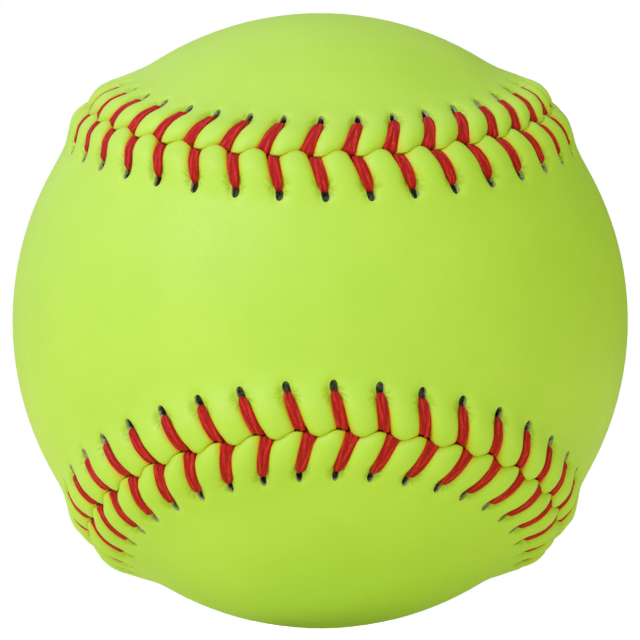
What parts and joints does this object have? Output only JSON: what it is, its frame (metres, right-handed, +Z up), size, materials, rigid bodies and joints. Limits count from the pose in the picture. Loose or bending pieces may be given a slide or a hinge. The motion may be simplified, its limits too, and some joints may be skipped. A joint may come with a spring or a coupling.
{
  "type": "softball",
  "caption": "Round ball of figure-eight leather panels laced together over a moulded core, for bat-and-ball games.",
  "frame": {"origin": "centre of the ball", "axes": "+Y along the axis about which the seam repeats by a quarter turn and a mirror; panel A's narrow waist faces -Y; +Z up"},
  "size_m": [0.097, 0.097, 0.097],
  "materials": {
    "core_foam": "moulded polyurethane with a fine matte skin",
    "cement": "thin dried latex cement, dull",
    "cover_leather": "dyed bright yellow-green leather with a fine grain, semi-matte",
    "thread": "doubled waxed red thread, slightly glossy"
  },
  "bodies": {
    "root": {"core": "core_foam", "cement_layer": "cement", "cover_panel_a": "cover_leather", "cover_panel_b": "cover_leather", "thread_a": "thread", "thread_b": "thread"}
  },
  "joints": []
}
